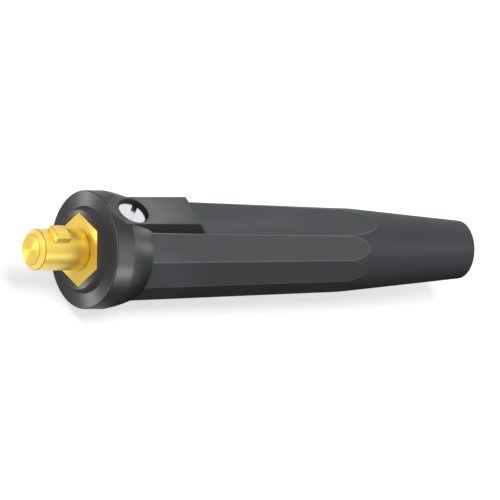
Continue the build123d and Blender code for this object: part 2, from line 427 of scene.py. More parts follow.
def facet_level(s, x, half):
    """Distance from the axis to a facet's middle line: straight, then an arc outwards."""
    beyond = np.maximum(x - s.runout_start, 0)
    curve = s.runout_radius - np.sqrt(s.runout_radius**2 - beyond**2)
    return cos(half) * ridge_radius(s, x) + curve


def handle_radius(s, x, angle):
    """Distance from the axis to the handle and tail.

    Along an angle, each facet and the tail's cone has a distance. The nearest one counts, and a
    power mean of their inverses in place of the largest inverse rounds the ridges a little.
    """
    inverses = [np.broadcast_to(1 / tail_radius(s, x)[:, None], angle.shape)]
    for middle, half in zip(*facet_middles_and_halves(s)):
        level = facet_level(s, x, half)[:, None]
        inverses.append(np.maximum(np.cos(angle - middle), TINY) / level)
    inverses = np.array(inverses)
    largest = inverses.max(axis=0)
    return 1 / (largest * ((inverses / largest) ** RIDGE_POWER).sum(axis=0) ** (1 / RIDGE_POWER))


def facet_edge(s, x, half):
    """Half of the angle that a facet still covers, which shrinks to zero at its curved tip."""
    share = np.minimum(facet_level(s, x, half) / tail_radius(s, x), 1)
    return np.minimum(np.arccos(share), half - RIDGE_HALF_WIDTH)


def pad_lean(s):
    """How far the pad's sides lean in for each unit of height over the pad's foot."""
    return (s.pad_base_width - s.pad_top_width) / 2 / (s.pad_height - pad_foot(s))


def pad_foot(s):
    """Height of the pad's foot: the facet's middle where the handle starts."""
    return cos(s.pad_facet_width / 2) * s.cone_end_radius


def pad_corner(s, top, rounding):
    """Centre of the arc between the pad's top and side, and the angles where it begins and ends."""
    lean = pad_lean(s)
    square = sqrt(1 + lean**2)
    centre_z = top - rounding
    centre_y = s.pad_base_width / 2 - (centre_z - pad_foot(s)) * lean - rounding * square
    begin = np.arctan2(centre_y, top)
    end = np.arctan2(centre_y + rounding / square, centre_z + rounding * lean / square)
    return centre_y, centre_z, begin, end


def pad_radius(s, angle, top, body, rounding):
    """Distance from the axis to the body with the pad on it.

    The pad's side is the nearer of a leaning plane and, below its foot, an upright one. The outline
    is the farther of body and side, cut off by the flat top, with an arc at their corner.
    """
    lean = pad_lean(s)
    sine = np.maximum(np.abs(np.sin(angle)), TINY)
    cosine = np.cos(angle)
    half_base = s.pad_base_width / 2
    leaning = (half_base + pad_foot(s) * lean) / (sine + lean * cosine)
    side = np.minimum(leaning, half_base / sine)
    outline = np.minimum(top / cosine, np.maximum(body, side))
    centre_y, centre_z, begin, end = pad_corner(s, top, rounding)
    toward = centre_y * sine + centre_z * cosine
    inside = np.maximum(toward**2 - centre_y**2 - centre_z**2 + rounding**2, 0)
    turned = np.abs(angle)
    on_arc = (turned > begin) & (turned < end)
    return np.where(on_arc, np.minimum(outline, toward + np.sqrt(inside)), outline)


def pad_side_on_circle(s, radius):
    """Angle where the pad's side meets a round body."""
    lean = pad_lean(s)
    half_base = s.pad_base_width / 2
    from_axis = (half_base + pad_foot(s) * lean) / radius / sqrt(1 + lean**2)
    return np.minimum(np.arcsin(from_axis) - np.arctan(lean), np.arcsin(half_base / radius))


def pad_side_on_facet(s, level):
    """Angle where the pad's side meets a facet."""
    half_base = s.pad_base_width / 2
    return np.arctan(np.minimum(half_base + (pad_foot(s) - level) * pad_lean(s), half_base) / level)


def ring_columns(s, pad_breaks, edges):
    """Angles of every column on every ring, once round from the pad's far ridge.

    pad_breaks are the angles of the arc's begin and end, the pad's foot and the facet's edge, for
    each ring. edges holds, for each of the other facets, half of the angle that is flat.
    """
    middles, halves = facet_middles_and_halves(s)
    ring_ones = np.ones(len(pad_breaks))
    side = np.column_stack([*pad_breaks.T, ring_ones * halves[0]])
    pad = np.column_stack([-side[:, ::-1], 0 * ring_ones, side])
    columns = [spread(pad, PAD_COLUMNS)]
    for middle, half, edge in zip(middles[1:], halves[1:], edges):
        flat = edge * FACET_EDGE_SHARE
        breaks = np.column_stack([-half * ring_ones, -edge, -flat, flat, edge, half * ring_ones])
        columns.append(middle + spread(breaks, FACET_COLUMNS))
    return np.concatenate(columns, axis=1)


def even_edges(s, ring_count):
    """Edges for round rings, which spread each facet's columns evenly."""
    _, halves = facet_middles_and_halves(s)
    share = sum(FACET_COLUMNS[1:4]) / sum(FACET_COLUMNS)
    return [np.full(ring_count, half * share) for half in halves[1:]]


def collar_rings(s):
    """Rings of the collar's rim and band, cut by a ramp that falls to the pad's height."""
    x_rim, out_rim = arc_points(
        s.boss_height + s.rim_fillet,
        s.collar_radius - s.rim_fillet,
        s.rim_fillet,
        radians(180),
        radians(90),
        ROUNDING_RINGS,
    )
    x = np.concatenate([x_rim, [s.boss_height + s.pad_ramp, s.collar_end]])
    out = np.concatenate([out_rim, [s.collar_radius, s.collar_radius]])
    fall = np.clip((x - s.boss_height) / s.pad_ramp, 0, 1)
    top = s.collar_radius - fall * (s.collar_radius - s.pad_height)
    corner = np.arccos(np.minimum(top / out, 1))
    pad_half = s.pad_facet_width / 2
    margin = (pad_half - corner) * PAD_MARGIN_SHARE
    breaks = np.column_stack([corner, corner, corner, corner + margin])
    angle = ring_columns(s, breaks, even_edges(s, len(x)))
    radius = np.minimum(top[:, None] / np.maximum(np.cos(angle), TINY), out[:, None])
    # Far from the pad the flat top doesn't reach
    radius = np.where(np.cos(angle) > cos(pad_half), radius, out[:, None])
    return around_plug(x[:, None], radius, angle)


def cone_rings(s):
    """Rings of the bulged cone behind the band, with the pad running over it.

    The cone's side is an arc: a chord from band to handle, plus a parabola of the bulge's height.
    """
    share = np.linspace(0, 1, CONE_RINGS)
    reach = s.handle_start - s.collar_end
    drop = s.collar_radius - s.cone_end_radius
    chord = sqrt(reach**2 + drop**2)
    bulge = 4 * s.cone_bulge * share * (1 - share)
    x = s.collar_end + reach * share + bulge * drop / chord
    out = s.collar_radius - drop * share + bulge * reach / chord
    top = np.full_like(x, s.pad_height)
    _, _, begin, end = pad_corner(s, top, s.pad_fillet)
    foot = np.maximum(pad_side_on_circle(s, out), end)
    pad_half = s.pad_facet_width / 2
    breaks = np.column_stack([begin, end, foot, foot + (pad_half - foot) * PAD_MARGIN_SHARE])
    angle = ring_columns(s, breaks, even_edges(s, len(x)))
    radius = np.broadcast_to(out[:, None], angle.shape).copy()
    pad_part = (slice(None), slice(0, sum(PAD_COLUMNS)))
    radius[pad_part] = pad_radius(s, angle[pad_part], s.pad_height, out[:, None], s.pad_fillet)
    return around_plug(x[:, None], radius, angle)


def handle_rings(s):
    """Rings of the handle with the pad and its end ramp, the facets' curved ends and the tail."""
    pad_half = s.pad_facet_width / 2
    # The pad's rear edge: an arc of an eighth of a turn, then a ramp down to the facet
    x_arc, top_arc = arc_points(
        s.pad_end - s.pad_fillet * tan(PAD_RAMP_ANGLE / 2),
        s.pad_height - s.pad_fillet,
        s.pad_fillet,
        radians(90),
        PAD_RAMP_ANGLE,
        PAD_ARC_RINGS,
    )
    fall = (s.cone_end_radius - s.tail_start_radius) / (s.tail_start - s.handle_start)
    slope = cos(pad_half) * fall
    ramp_end = (s.pad_height + s.pad_end - pad_foot(s) - slope * s.handle_start) / (1 - slope)
    x_ramp = np.linspace(x_arc[-1], ramp_end, PAD_RAMP_RINGS)[1:]
    x_pad = np.concatenate([[s.handle_start], x_arc, x_ramp])
    top_ramp = s.pad_height + s.pad_end - x_ramp
    top = np.concatenate([[s.pad_height], top_arc, top_ramp])
    # Rings close together over the run-outs, with one at every facet's tip
    x_runout = np.linspace(s.runout_start, s.runout_start + RUNOUT_LENGTH, RUNOUT_RINGS)
    _, halves = facet_middles_and_halves(s)
    rise = [facet_level(s, x_runout, half) / tail_radius(s, x_runout) for half in halves]
    tips = [np.interp(1, share, x_runout) for share in rise]
    x_runout = np.unique(np.concatenate([x_runout, tips]))
    fillet_turn = atan2(s.tail_start_radius - s.tail_end_radius, s.tail_end - s.tail_start)
    x_fillet, out_fillet = arc_points(
        s.tail_end - s.tail_fillet,
        tail_radius(s, s.tail_end - s.tail_fillet) - s.tail_fillet / cos(fillet_turn),
        s.tail_fillet,
        radians(90) - fillet_turn,
        0,
        ROUNDING_RINGS,
    )
    x = np.concatenate([x_pad, x_runout, x_fillet])
    edges = [facet_edge(s, x, half) for half in halves]
    # Past the pad's ramp the pad's columns gather near the facet's edge
    level = facet_level(s, x, pad_half)
    begin, end, foot = np.tile(edges[0] * FACET_EDGE_SHARE, (3, 1))
    on_pad = slice(0, len(x_pad))
    rounding = np.minimum(s.pad_fillet, (top - level[on_pad]) / 2)
    _, _, begin[on_pad], end[on_pad] = pad_corner(s, top, rounding)
    foot[on_pad] = np.maximum(pad_side_on_facet(s, level[on_pad]), end[on_pad])
    breaks = np.column_stack([begin, end, foot, np.maximum(foot, edges[0])])
    angle = ring_columns(s, breaks, edges[1:])
    radius = handle_radius(s, x, angle)
    pad_part = (on_pad, slice(0, sum(PAD_COLUMNS)))
    radius[pad_part] = pad_radius(
        s, angle[pad_part], top[:, None], radius[pad_part], rounding[:, None]
    )
    radius[-len(x_fillet) :] = out_fillet[:, None]
    return around_plug(x[:, None], radius, angle), angle[-1]


def insulator_finishes(s, mesh):
    """Which of the insulator's finishes each face has.

    The facets and the screw's hole are grained, the collar, pad and bore polished, and the front
    faces and the boss turned. On the pad's sides the polished black is also painted shade, for the
    corner over the facets. A painted highlight, a pale line, lies on the faces nearer to a facet's
    border than half of the line's width, measured along the arc. A facet's border is the ridge, or
    on its curved end the place where it meets the tail's cone.
    """
    normals, centres = face_directions_and_centres(mesh)
    x, y, z = centres.T
    out = np.hypot(y, z)
    angle = np.arctan2(-y, z)
    on_facet = np.zeros(len(x), dtype=bool)
    painted_highlight = np.zeros(len(x), dtype=bool)
    for middle, half in zip(*facet_middles_and_halves(s)):
        turned = np.abs(np.mod(angle - middle + FULL_TURN / 2, FULL_TURN) - FULL_TURN / 2)
        share = np.minimum(facet_level(s, np.minimum(x, s.tail_end), half) / tail_radius(s, x), 1)
        border = np.minimum(np.arccos(share), half)
        on_facet |= turned < border
        # Painted highlight: a pale line on the faces near the facet's border
        painted_highlight |= (turned < border) & ((border - turned) * out < s.ridge_highlight_width / 2)
    handle = (x > s.handle_start) & (out > s.tail_start_radius / 2)
    foot = cos(s.pad_facet_width / 2) * ridge_radius(s, x) + FOOT_SLACK
    # The pad's polished black on its sides is partly painted shade, for the corner over the facets
    pad = (x < s.pad_end + s.pad_height) & (z > foot) & (np.abs(y) < s.pad_base_width / 2)
    finish = np.where(handle & painted_highlight, PAINTED_RIDGE_HIGHLIGHT, np.where(handle & ~on_facet, TAIL, GRAINED))
    bore = out < s.tail_end_radius - s.tail_fillet
    finish = np.where((x < s.handle_start) | pad | bore, POLISHED_AND_PAD_SHADE, finish)
    boss = (x < s.boss_height) & (out > s.recess_flat)
    front = (normals[:, 0] < LOOKS_FORWARDS) & (x < s.boss_height + FRONT_SLACK)
    finish = np.where(boss | front, TURNED_FACE, finish)
    hole = np.hypot(x - screw_line(), y) < s.counterbore_radius + HOLE_SLACK
    finish = np.where(hole & (z > s.counterbore_floor - MM), GRAINED, finish)
    return finish.astype(np.int32)


def insulator_surface(s):
    """The whole moulding as one tube of rings: outside to the tail, and back through the bore."""
    column_count = sum(PAD_COLUMNS) + sum(FACET_COLUMNS) * (2 * SIDE_FACETS + 1)
    corners = hexagon_columns(column_count, HEXAGON_START)
    recess = hexagon_radius(corners, s.recess_flat)
    boss = turned_rings(corners, [
        (0, recess),
        (0, s.boss_front_radius),
        (s.boss_height, s.boss_base_radius),
    ])
    handle, bore_angle = handle_rings(s)
    bore = turned_rings(bore_angle, [
        (s.tail_end, s.cable_bore_radius + s.cable_bore_chamfer),
        (s.tail_end - s.cable_bore_chamfer, s.cable_bore_radius),
        (s.cable_bore_start, s.cable_bore_radius),
    ])
    barrel = turned_rings(corners, [
        (s.cable_bore_start, s.barrel_bore_radius),
        (s.recess_depth, s.barrel_bore_radius),
        (s.recess_depth, recess),
    ])
    rings = np.concatenate([boss, collar_rings(s), cone_rings(s), handle, bore, barrel])
    return ring_surface(PLASTIC, rings, tube=True)


# Contact

# Columns round the pin: half of the far side, the key's side, its edge, its top, and the same back
KEY_COLUMNS = (99, 5, 5, 22, 5, 5, 99)
# The key's long edges are rounded over this angle to each side, and more sharply at a higher power
KEY_EDGE_HALF_WIDTH = radians(1.2)
KEY_POWER = 150
# The groove that the tool leaves at the pin's root, and the broken edges
ROOT_GROOVE_WIDTH = 0.16 * MM
ROOT_GROOVE_DEPTH = 0.08 * MM
EDGE_BREAK = 0.1 * MM
DRILL_HALF_ANGLE = radians(59)
# The contact's finishes, in the order in which the piece gets its materials
TURNED, FACED, TARNISHED = range(3)


def key_outline(s, angle, height):
    """Distance from the axis to the pin with its key: a round top between two parallel sides.

    A power mean of the two inverses rounds the key's long edges a little.
    """
    half_width = s.key_width / 2
    inverse_ratio = np.abs(np.sin(angle)) * height / half_width
    outline = height / (1 + inverse_ratio**KEY_POWER) ** (1 / KEY_POWER)
    return np.where(np.cos(angle) > 0, np.maximum(outline, s.pin_radius), s.pin_radius)


def contact_surface(s):
    """The brass contact from its nose to the drill point at the bottom of the conductor's bore."""
    half_width = s.key_width / 2
    top_edge = np.arcsin(half_width / s.key_radius)
    foot_edge = np.arcsin(half_width / s.pin_radius)
    side = np.array([
        top_edge - KEY_EDGE_HALF_WIDTH, top_edge + KEY_EDGE_HALF_WIDTH, foot_edge, FULL_TURN / 2
    ])
    key_breaks = np.concatenate([-side[::-1], side])[None, :]
    around = spread(key_breaks, KEY_COLUMNS)[0]
    corners = hexagon_columns(len(around), -FULL_TURN / 2)
    nose = -s.pin_length
    key_rear = -s.key_rear
    key_front = key_rear - s.key_length
    fillet_x, fillet_out = arc_points(
        key_rear - s.key_fillet,
        s.key_radius - s.key_fillet,
        s.key_fillet,
        radians(90),
        0,
        ROUNDING_RINGS,
    )
    pin = turned_rings(around, [
        (nose, 0),
        (nose, s.nose_radius - EDGE_BREAK),
        (nose + EDGE_BREAK, s.nose_radius),
        (nose + s.nose_length - EDGE_BREAK, s.pin_radius - EDGE_BREAK),
        (nose + s.nose_length + EDGE_BREAK, s.pin_radius),
        (key_front, s.pin_radius),
        (key_front, key_outline(s, around, s.key_radius - EDGE_BREAK)),
        (key_front + EDGE_BREAK, key_outline(s, around, s.key_radius)),
        *[(x, key_outline(s, around, out)) for x, out in zip(fillet_x, fillet_out)],
        (key_rear, s.pin_radius),
        (-ROOT_GROOVE_WIDTH, s.pin_radius),
        (-ROOT_GROOVE_WIDTH, s.pin_radius - ROOT_GROOVE_DEPTH),
        (0, s.pin_radius - ROOT_GROOVE_DEPTH),
    ])
    corner_radius = hexagon_radius(corners, s.hexagon_flat)
    hexagon = turned_rings(corners, [
        (0, corner_radius - EDGE_BREAK),
        (EDGE_BREAK, corner_radius),
        (s.hexagon_length, corner_radius),
        (s.hexagon_length, s.barrel_radius),
        (s.barrel_end - s.barrel_chamfer, s.barrel_radius),
        (s.barrel_end, s.barrel_radius - s.barrel_chamfer),
        (s.barrel_end, s.bore_radius),
        (s.bore_start, s.bore_radius),
        (s.bore_start - s.bore_radius / tan(DRILL_HALF_ANGLE), 0),
    ])
    return ring_surface(BRASS, np.concatenate([pin, hexagon]))


def contact_finishes(s, mesh):
    """Which of the contact's finishes each face has.

    The sides are turned and the fronts faced. The broken edges and the groove at the pin's root are
    tarnished, because they stay so when the rest is wiped.
    """
    normals, centres = face_directions_and_centres(mesh)
    x, y, z = centres.T
    nose = -s.pin_length
    half_break = EDGE_BREAK / 2
    tarnished = np.abs(x + s.key_rear + s.key_length - half_break) < half_break / 2
    tarnished &= np.hypot(y, z) > s.pin_radius + EDGE_BREAK
    for edge in (nose + half_break, nose + s.nose_length, -ROOT_GROOVE_WIDTH / 2, half_break):
        tarnished |= np.abs(x - edge) < half_break / 2
    front = (normals[:, 0] < LOOKS_FORWARDS) & (x < EDGE_BREAK)
    return np.where(front, FACED, np.where(tarnished, TARNISHED, TURNED)).astype(np.int32)


# Retaining screw

SCREW_COLUMNS = 96
CROWN_RINGS = 12
# The edge between crown and side: its rounding, its rings and the angle where the rounding starts
HEAD_EDGE = 0.12 * MM
HEAD_EDGE_RINGS = 14
HEAD_EDGE_START = radians(75)
# The thread starts below the head and tapers at its point. Its crest is a little flattened.
THREAD_RINGS_PER_TURN = 12
THREAD_START = 0.3 * MM
POINT_TAPER = 0.5 * MM
CREST_STEEPNESS = 1.25


def screw_surface(s, centre_x, seat):
    """The screw from the middle of its crown to its point.

    The crown is part of a ball. The thread's radius falls by a triangle wave of the height less the
    angle's share of a turn, times the pitch, so its crest climbs as a helix.
    """
    angle = np.linspace(0, FULL_TURN, SCREW_COLUMNS, endpoint=False)[None, :]
    ball = (s.head_radius**2 + s.crown**2) / (2 * s.crown)
    out = np.linspace(0, s.head_radius - HEAD_EDGE, CROWN_RINGS)
    crown_z = seat + s.head_height + s.crown - (ball - np.sqrt(ball**2 - out**2))
    edge_turn = np.linspace(HEAD_EDGE_START, 0, HEAD_EDGE_RINGS)
    edge_out = s.head_radius - HEAD_EDGE + HEAD_EDGE * np.cos(edge_turn)
    edge_z = crown_z[-1] - HEAD_EDGE + HEAD_EDGE * np.sin(edge_turn)
    head_out = np.concatenate([out, edge_out, [s.head_radius, s.thread_radius - s.thread_depth]])
    head_z = np.concatenate([crown_z, edge_z, [seat, seat]])
    end = seat - s.shank_length
    ring_count = int(s.shank_length / s.thread_pitch * THREAD_RINGS_PER_TURN)
    z = np.linspace(seat - THREAD_START, end, ring_count)[:, None]
    phase = np.mod(z / s.thread_pitch - angle / FULL_TURN, 1)
    wave = np.abs(2 * phase - 1)
    crest = np.clip(CREST_STEEPNESS * (1 - wave), 0, 1)
    taper = np.clip((z - end) / POINT_TAPER, 0, 1)
    thread_out = s.thread_radius - s.thread_depth * (1 - crest * taper)
    head = around_hole(centre_x, head_z[:, None], head_out[:, None], angle)
    thread = around_hole(centre_x, z, thread_out, angle)
    point = around_hole(centre_x, np.array([[end]]), np.array([[0.0]]), angle)
    return ring_surface("slotted_screw", np.concatenate([head, thread, point]))


def slot_cutter(s, centre_x, crown_top):
    """A long block as wide as the slot, turned round the screw's line."""
    along = Vector((cos(s.slot_turn), sin(s.slot_turn), 0))
    across = Vector((-sin(s.slot_turn), cos(s.slot_turn), 0))
    centre = Vector((centre_x, 0, crown_top - s.slot_depth))
    reach = 2 * s.head_radius
    rise = Vector((0, 0, reach))
    square = [(-1, -1), (1, -1), (1, 1), (-1, 1)]
    level = [centre + along * reach * a + across * s.slot_width / 2 * b for a, b in square]
    rings = [[centre] * 4, level, [corner + rise for corner in level], [centre + rise] * 4]
    return ring_surface("slot_cutter", np.array(rings))


# Materials

GRAIN_WIDTH = 0.22 * MM
# Distance between the bands of Blender's wave texture at a scale of one, in metres
WAVE_AT_SCALE_ONE = 2 * pi / 20
# Most of the noise that draws the patches lies between these values
PATCH_NOISE = (0.3, 0.7)


def add_node(tree, kind, sockets=None, **settings):
    """Adds a node, with its own settings and with values or links for its input sockets."""
    node = tree.nodes.new(kind)
    for name, value in settings.items():
        setattr(node, name, value)
    for name, value in (sockets or {}).items():
        if isinstance(value, bpy.types.NodeSocket):
            tree.links.new(value, node.inputs[name])
        else:
            node.inputs[name].default_value = value
    return node


def new_material(name):
    """An empty node material and its node tree."""
    material = bpy.data.materials.new(name)
    material.use_nodes = True
    tree = material.node_tree
    tree.nodes.clear()
    return material, tree


def shade(colour, factor):
    """A darker or lighter form of a colour."""
    return (*[min(channel * factor, 1) for channel in colour[:3]], 1.0)


def worked_surface(name, colour, patches, shades, gloss, relief, looks, ring_axis):
    """A material whose colour and gloss vary in wide faint patches, with a fine relief all over.

    patches is their width and detail, shades and gloss are the colour's factors and the roughness
    from one end of the patches to the other, and relief is its texture, with sockets and settings,
    its strength and its depth. Where looks has anisotropy, it runs round the ring axis.
    """
    material, tree = new_material(name)
    place = add_node(tree, "ShaderNodeTexCoord").outputs["Object"]
    width, detail = patches
    patch = add_node(
        tree, "ShaderNodeTexNoise", {"Vector": place, "Scale": 1 / width, "Detail": detail}
    ).outputs["Fac"]
    texture, sockets, settings, strength, depth = relief
    height = add_node(tree, texture, {"Vector": place, **sockets}, **settings).outputs["Fac"]
    tint = add_node(
        tree,
        "ShaderNodeMix",
        {"Factor": patch, "A": shade(colour, shades[0]), "B": shade(colour, shades[1])},
        data_type="RGBA",
    )
    low, high = PATCH_NOISE
    roughness = add_node(
        tree,
        "ShaderNodeMapRange",
        {"Value": patch, "From Min": low, "From Max": high, "To Min": gloss[0], "To Max": gloss[1]},
    )
    bump = add_node(
        tree, "ShaderNodeBump", {"Height": height, "Strength": strength, "Distance": depth}
    )
    shader = add_node(
        tree,
        "ShaderNodeBsdfPrincipled",
        {
            "Base Color": tint.outputs["Result"],
            "Roughness": roughness.outputs["Result"],
            "Normal": bump.outputs["Normal"],
            **looks,
        },
    )
    if looks["Anisotropic"]:
        ring = add_node(tree, "ShaderNodeTangent", direction_type="RADIAL", axis=ring_axis)
        tree.links.new(ring.outputs["Tangent"], shader.inputs["Tangent"])
    add_node(tree, "ShaderNodeOutputMaterial", {"Surface": shader.outputs["BSDF"]})
    return material


def moulded_plastic(name, colour, roughness, specular, grain_depth, anisotropic=0.0):
    """Injection-moulded polyamide, satin black.

    The mould was spark-eroded, which leaves a fine even grain that breaks up the gloss, and the
    melt cools unevenly, which makes wide faint patches in its colour and gloss. The real grain is
    finer than the render can show, so it is drawn coarser.
    """
    grain = {"Scale": 1 / GRAIN_WIDTH, "Detail": 2.0}
    return worked_surface(
        name,
        colour,
        patches=(9 * MM, 3.0),
        shades=(0.93, 1.07),
        gloss=(roughness - 0.03, roughness + 0.03),
        relief=("ShaderNodeTexNoise", grain, {}, 0.25, grain_depth),
        looks={"IOR": 1.53, "Specular IOR Level": specular, "Anisotropic": anisotropic},
        ring_axis="X",
    )


def turned_metal(
    name, colour, roughness, feed, groove_depth, anisotropic=0.0, axis="X", tarnish=0.9, film=0.0
):
    """Metal turned on a lathe, whose tool leaves fine rings one feed apart.

    The rings spread a highlight along the piece, and handling leaves wide, faint darker patches.
    The rings are drawn two feeds apart, because closer ones wouldn't show in the render. A film of
    lacquer or oil gives a second, whiter gloss.
    """
    rings = {"Scale": WAVE_AT_SCALE_ONE / (2 * feed)}
    return worked_surface(
        name,
        colour,
        patches=(6 * MM, 4.0),
        shades=(tarnish, 1.04),
        gloss=(roughness + 0.04, roughness - 0.02),
        relief=("ShaderNodeTexWave", rings, {"bands_direction": axis}, 0.2, groove_depth),
        looks={
            "Metallic": 1.0,
            "Anisotropic": anisotropic,
            "Anisotropic Rotation": 0.25,
            "Coat Weight": film,
            "Coat Roughness": 0.25,
            "Coat IOR": 1.7,
        },
        ring_axis=axis,
    )


def set_node_material(node_name, material):
    """Gives a CAD node that stays its finished material."""
    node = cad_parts[node_name]
    node.data.materials.clear()
    node.data.materials.append(material)


# Operators


class PLUG_OT_insulator(bpy.types.Operator):
    """Builds the moulded insulator with its collar, facets, pad and screw hole"""

    bl_idname = "plug.insulator"
    bl_label = "Insulator"

    def execute(self, context):
        s = context.scene.plug_insulator
        piece = insulator_surface(s)
        above = s.pad_height + s.counterbore_radius
        rim = s.pad_height - HOLE_FLARE
        cut(piece, upright_cutter("counterbore_cutter", screw_line(), [
            (0, s.pad_height / 2),
            (s.screw_hole_radius, s.pad_height / 2),
            (s.screw_hole_radius, s.counterbore_floor),
            (s.counterbore_radius, s.counterbore_floor),
            (s.counterbore_radius, rim),
            (s.counterbore_radius + above - rim, above),
            (0, above),
        ]))
        finish_piece(
            piece,
            "insulator",
            "plug_body",
            "insulator",
            # Spark-eroded mould: matt and grey, because the grain spreads the light
            moulded_plastic("moulded_polyamide_grained", s.body_colour, 0.5, 0.1, 0.012 * MM),
            # Polished mould: black, with soft bright bands. On the pad's sides its black is also
            # painted shade, for the corner over the facets
            moulded_plastic("moulded_polyamide_polished_and_pad_shade", s.polished_and_shade_colour, 0.42, 0.2, 0.004 * MM),
            # Turned mould insert: its rings draw the light out into two opposite fans
            moulded_plastic(
                "moulded_polyamide_turned_face", s.face_colour, 0.6, 0.5, 0.004 * MM, 0.9
            ),
            # Finer grain: a little darker and smoother than the facets
            moulded_plastic("moulded_polyamide_tail", s.tail_colour, 0.5, 0.1, 0.008 * MM),
            # Painted highlight: thin pale lines along the ridges and the facets' ends, that mark
            # the facets off
            moulded_plastic("moulded_polyamide_painted_ridge_highlights", s.ridge_highlight_colour, 0.45, 0.2, 0.004 * MM),
        )
        piece.data.polygons.foreach_set("material_index", insulator_finishes(s, piece.data))
        piece.data.update()
        return {"FINISHED"}


class PLUG_OT_contact(bpy.types.Operator):
    """Builds the turned brass contact with its pin, key, hexagon and barrel"""

    bl_idname = "plug.contact"
    bl_label = "Contact"

    def execute(self, context):
        s = context.scene.plug_contact
        piece = contact_surface(s)
        above = 2 * s.barrel_radius
        for name, radius, floor in [
            ("front_set_screw", s.clamp_hole_radius, 0),
            ("rear_set_screw", s.clamp_hole_radius, 0),
            ("retaining_screw", s.screw_hole_radius, s.screw_hole_floor),
        ]:
            profile = [(0, floor), (radius, floor), (radius, above), (0, above)]
            cut(piece, upright_cutter(name + "_hole_cutter", screw_line(name), profile))
        finish_piece(
            piece,
            "contact",
            "plug_body",
            "contact_brass",
            # Turned along the pin: bright, with long soft highlights under a lacquer's gloss
            turned_metal("turned_brass", s.colour, 0.38, 0.25 * MM, 0.002 * MM, film=0.6),
            # Faced: the rings draw the light out into a bright fan
            turned_metal("faced_brass", s.face_colour, 0.45, 0.25 * MM, 0.002 * MM, 0.75, film=0.2),
            # Tarnished: thin brown lines where a cloth doesn't reach
            turned_metal("tarnished_brass", s.tarnish_colour, 0.5, 0.25 * MM, 0.002 * MM, film=0.2),
        )
        piece.data.polygons.foreach_set("material_index", contact_finishes(s, piece.data))
        piece.data.update()
        return {"FINISHED"}


class PLUG_OT_retaining_screw(bpy.types.Operator):
    """Builds the slotted retaining screw with its thread"""

    bl_idname = "plug.retaining_screw"
    bl_label = "Retaining screw"

    def execute(self, context):
        s = context.scene.plug_screw
        seat = context.scene.plug_insulator.counterbore_floor
        piece = screw_surface(s, screw_line(), seat)
        cut(piece, slot_cutter(s, screw_line(), seat + s.head_height + s.crown))
        # Plated over fine turning: nearly a mirror, so the head shows the white round it
        plate = turned_metal(
            "bright_nickel_plate", s.colour, 0.16, 0.3 * MM, 0.002 * MM, axis="Z", tarnish=0.96
        )
        finish_piece(piece, "retaining_screw", "screw_body", "screw_nickel", plate)
        return {"FINISHED"}


class PLUG_OT_clamp(bpy.types.Operator):
    """Finishes the hidden clamp: the two set screws and the copper ferrule"""

    bl_idname = "plug.clamp"
    bl_label = "Conductor clamp"

    def execute(self, context):
        s = context.scene.plug_clamp
        # Blackened in a hot bath: dark, with a dull shine along its thread's rings
        steel = turned_metal(
            "black_oxide_steel", s.steel_colour, 0.4, 0.8 * MM, 0.02 * MM, axis="Z"
        )
        # Rolled thin and bare: reddish, with a soft shine
        copper = turned_metal("rolled_copper", s.copper_colour, 0.32, 0.4 * MM, 0.003 * MM)
        for name in ("front_set_screw", "rear_set_screw"):
            set_node_material(name, steel)
        set_node_material("conductor_ferrule", copper)
        return {"FINISHED"}


# Lamps and camera

# Each lamp's name, the piece it is kept to, the spot it faces in millimetres, the direction from
# there, its distance, width and height in millimetres, the spread of its beam in degrees and watts.
# A photographer keeps a lamp to one piece with shades, and narrows its beam with a grid.
LAMPS = [
    ("key_lamp", None, (45, 0, 0), (-0.05, -0.28, 0.96), 1200, 700, 700, 180, 6.0),
    ("face_lamp", PLASTIC, (0, 0, 0), (-0.99, 0.10, 0.0), 110, 20, 10, 180, 0.25),
    ("pad_lamp", PLASTIC, (12, -1.3, 12), (0.577, 0.567, 0.587), 90, 8, 8, 20, 0.00018),
    ("band_lamp", PLASTIC, (3.5, -12.2, 3.5), (0.577, -0.81, 0.0), 100, 4, 44, 8, 0.0011),
    ("upper_band_lamp", PLASTIC, (3.5, -9.6, 8.5), (0.577, -0.70, 0.42), 100, 4, 26, 5, 0.00016),
    ("cone_lamp", PLASTIC, (10, -8, 9), (0.905, -0.25, 0.33), 100, 3, 44, 4, 0.00019),
    ("upper_cone_lamp", PLASTIC, (10, -4.6, 11), (0.88, 0.10, 0.465), 100, 3, 44, 4, 0.00014),
    ("side_lamp", PLASTIC, (45, 0, 0), (0.62, -0.48, 0.60), 1000, 400, 300, 180, 4.3),
    ("back_lamp", PLASTIC, (45, 0, 0), (0.61, 0.57, 0.55), 1000, 400, 300, 180, 0.8),
    ("pin_upper_lamp", BRASS, (-6, 0, 0), (0.577, 0.50, 0.64), 600, 160, 80, 180, 0.04),
    ("pin_lower_lamp", BRASS, (-6, 0, 0), (0.577, -0.80, 0.14), 600, 200, 140, 180, 0.15),
    ("nose_lamp", BRASS, (0, 0, 0), (-0.94, 0.30, 0.05), 110, 20, 14, 180, 0.07),
]

# Camera's direction from the plug and the top of its picture
VIEW_FROM = (-0.577, -0.567, 0.587)
VIEW_TOP = (0, 0.719, 0.695)
SENSOR_WIDTH = 36

# Where a mirror sees the floor in the plug's shadow: up to the first distance from the plug's
# middle plane, or from the first place along the plug backwards, fading towards the second
SHADOW_SIDE = (20 * MM, 70 * MM)
SHADOW_FRONT = (14 * MM, 3 * MM)
SHADOW_COLOUR = (0.08, 0.08, 0.08, 1)
FLOOR_GLOW = 0.75
WHITE = (1, 1, 1, 1)
# Strength of the world's light on the plug, where one is white
WORLD_LIGHT = 0.22
FLOOR_LINES = 9


